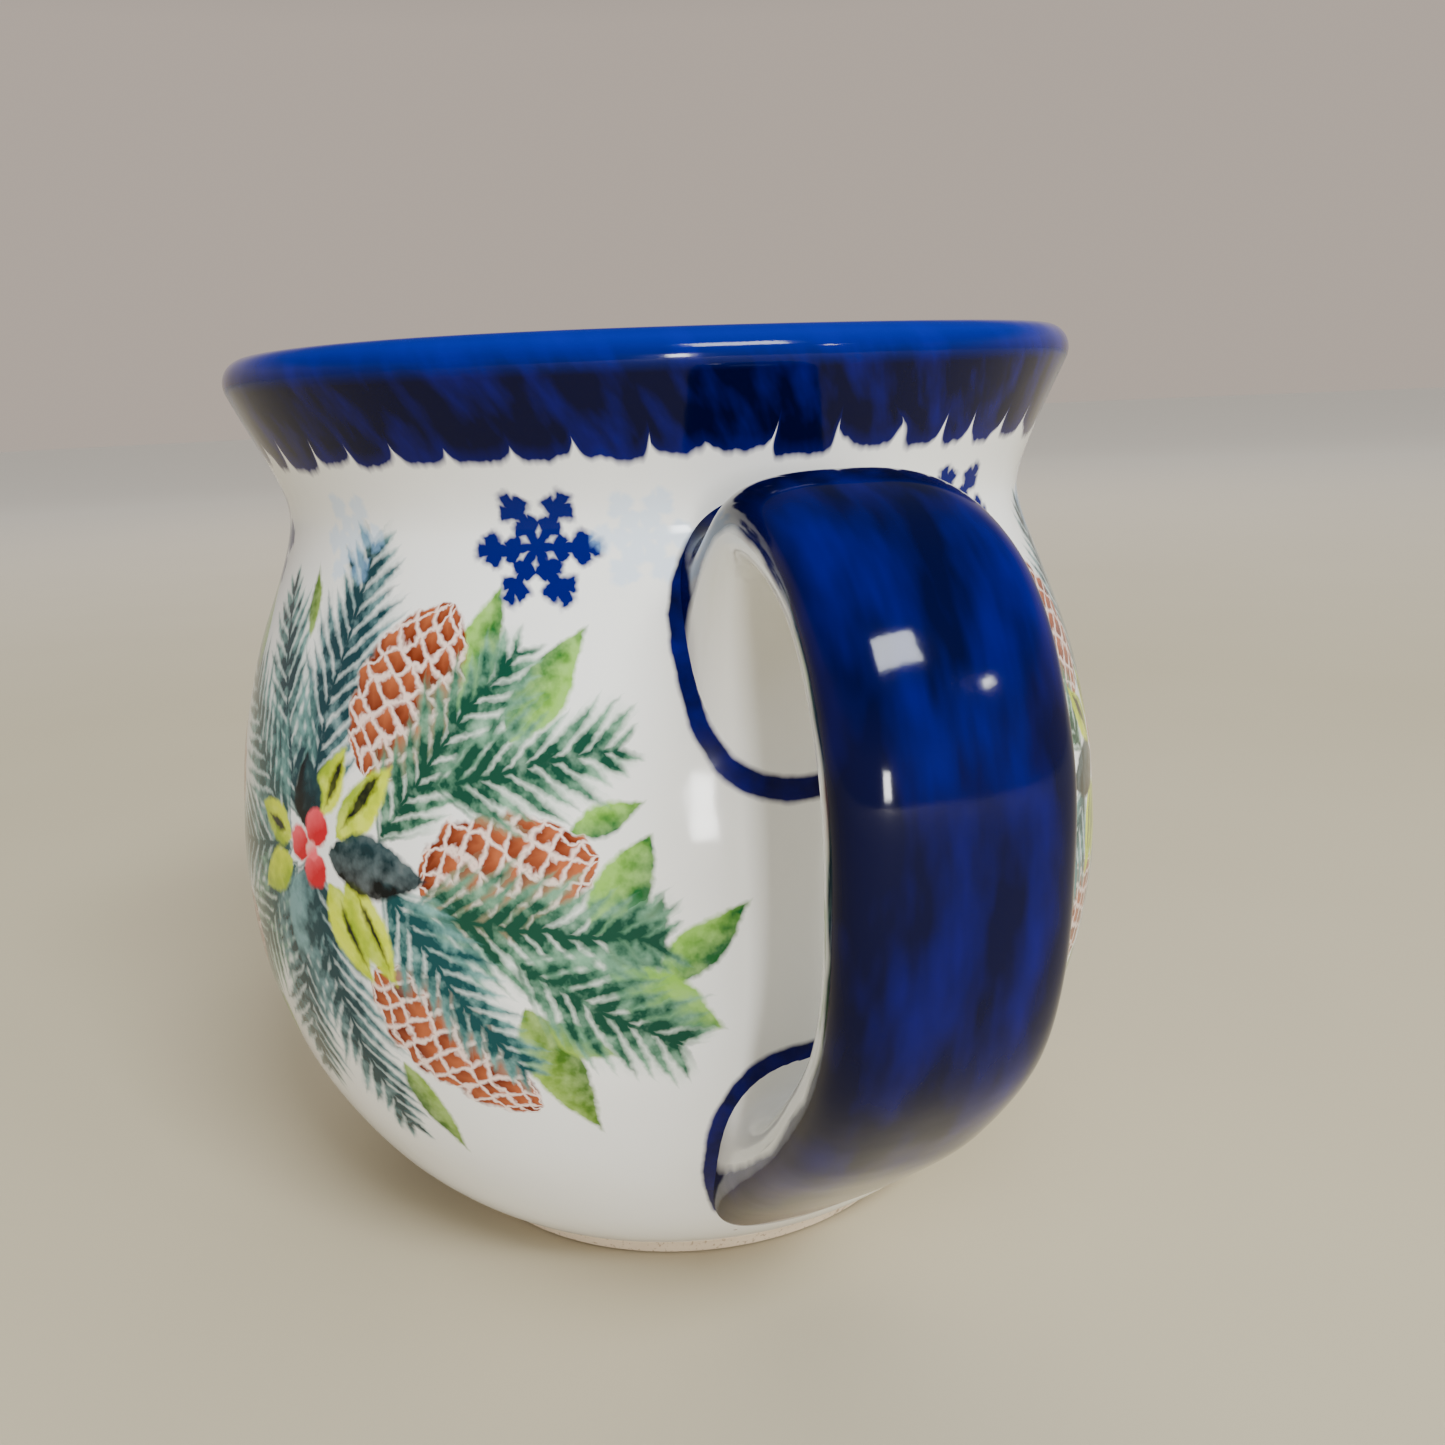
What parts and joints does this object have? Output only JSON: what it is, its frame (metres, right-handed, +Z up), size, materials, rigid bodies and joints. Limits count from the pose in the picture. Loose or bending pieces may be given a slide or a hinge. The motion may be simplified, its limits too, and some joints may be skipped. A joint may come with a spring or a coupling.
{
  "type": "potbellied stoneware mug",
  "caption": "Potbellied stoneware mug with a short neck, a flared cobalt lip and a wide strap handle; painted under clear glaze.",
  "frame": {"origin": "middle of the foot ring's resting plane", "axes": "+Z up along the bowl's axis, +X towards the handle"},
  "size_m": [0.1301, 0.1012, 0.0991],
  "materials": {
    "biscuit": "bare fired stoneware, matt",
    "clear_glaze": "glossy clear glaze over pale clay",
    "decorated_glaze": "glossy clear glaze over hand-painted decoration",
    "cobalt_glaze": "glossy cobalt blue, streaked by the brush"
  },
  "bodies": {
    "root": {"stoneware_body": "biscuit", "inner_clear_glaze": "clear_glaze", "outer_clear_glaze": "decorated_glaze", "rim_cobalt_glaze": "cobalt_glaze", "base_clear_glaze": "clear_glaze", "handle_strap": "biscuit", "upper_handle_joint": "biscuit", "lower_handle_joint": "biscuit", "handle_cobalt_glaze": "cobalt_glaze", "handle_clear_glaze": "clear_glaze"}
  },
  "joints": []
}
